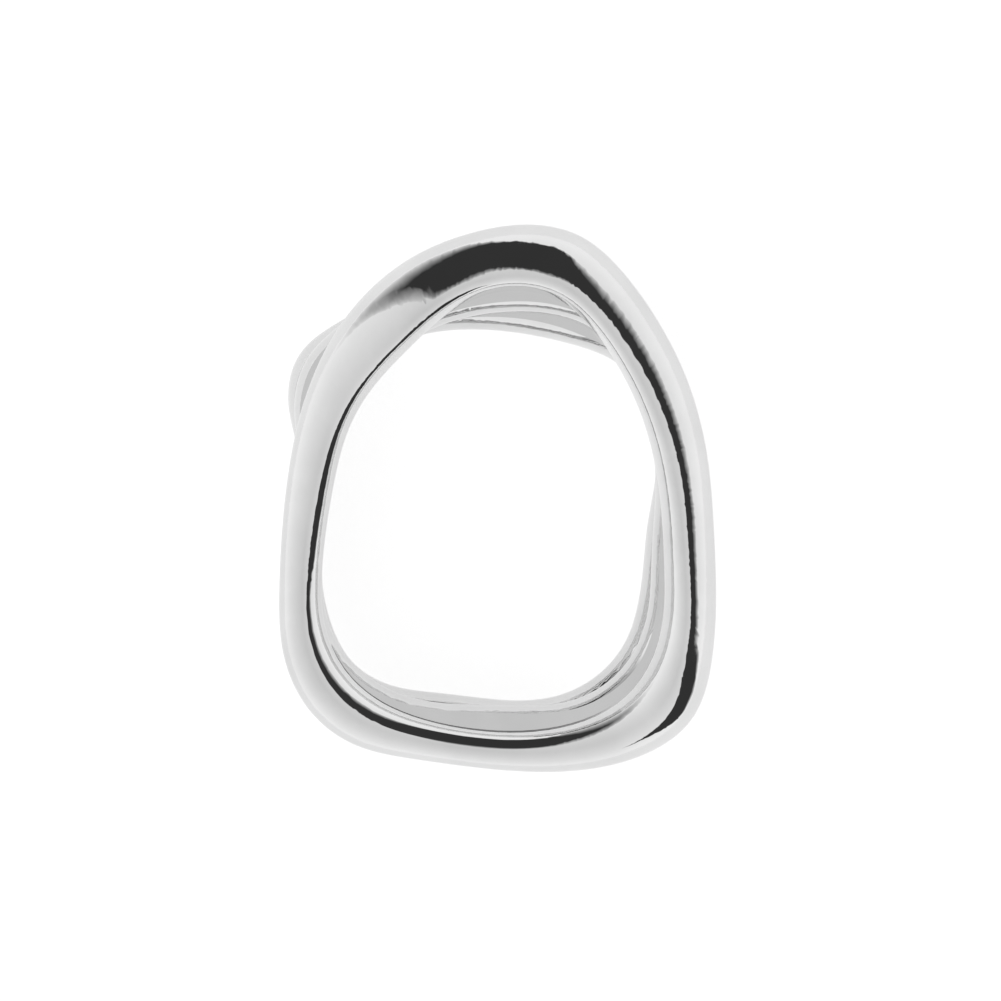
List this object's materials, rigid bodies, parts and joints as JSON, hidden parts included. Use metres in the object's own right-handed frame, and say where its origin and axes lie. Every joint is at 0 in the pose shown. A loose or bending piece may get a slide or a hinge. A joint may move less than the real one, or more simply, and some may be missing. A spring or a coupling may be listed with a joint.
{
  "type": "finger puzzle ring",
  "caption": "Chunky rounded egg-shaped finger puzzle ring: stacked polished metal bands that fan open on a hidden pivot pin and close into one ring.",
  "frame": {"origin": "centre of the outline, on the surface that the ring lies on", "axes": "+Z along the finger axis towards the face band; +Y towards the ring's narrower top"},
  "size_m": [0.0226, 0.0283, 0.0088],
  "materials": {
    "polished_metal": "mirror polished with faint handling marks",
    "polished_metal_inner": "polished, slightly softer than the face band",
    "pin_metal": "fine turned"
  },
  "bodies": {
    "front": {"front_band": "polished_metal", "pivot_pin": "pin_metal"},
    "middle": {"middle_band": "polished_metal_inner"},
    "rear": {"rear_band": "polished_metal_inner"}
  },
  "joints": [
    {"name": "middle_swivel", "type": "hinge", "parent": "front", "child": "middle", "pos_m": [0.0077, -0.0106, 0.004], "axis": [0, 0, 1], "continuous": true},
    {"name": "rear_swivel", "type": "hinge", "parent": "front", "child": "rear", "pos_m": [0.0077, -0.0106, 0.0014], "axis": [0, 0, 1], "continuous": true}
  ]
}
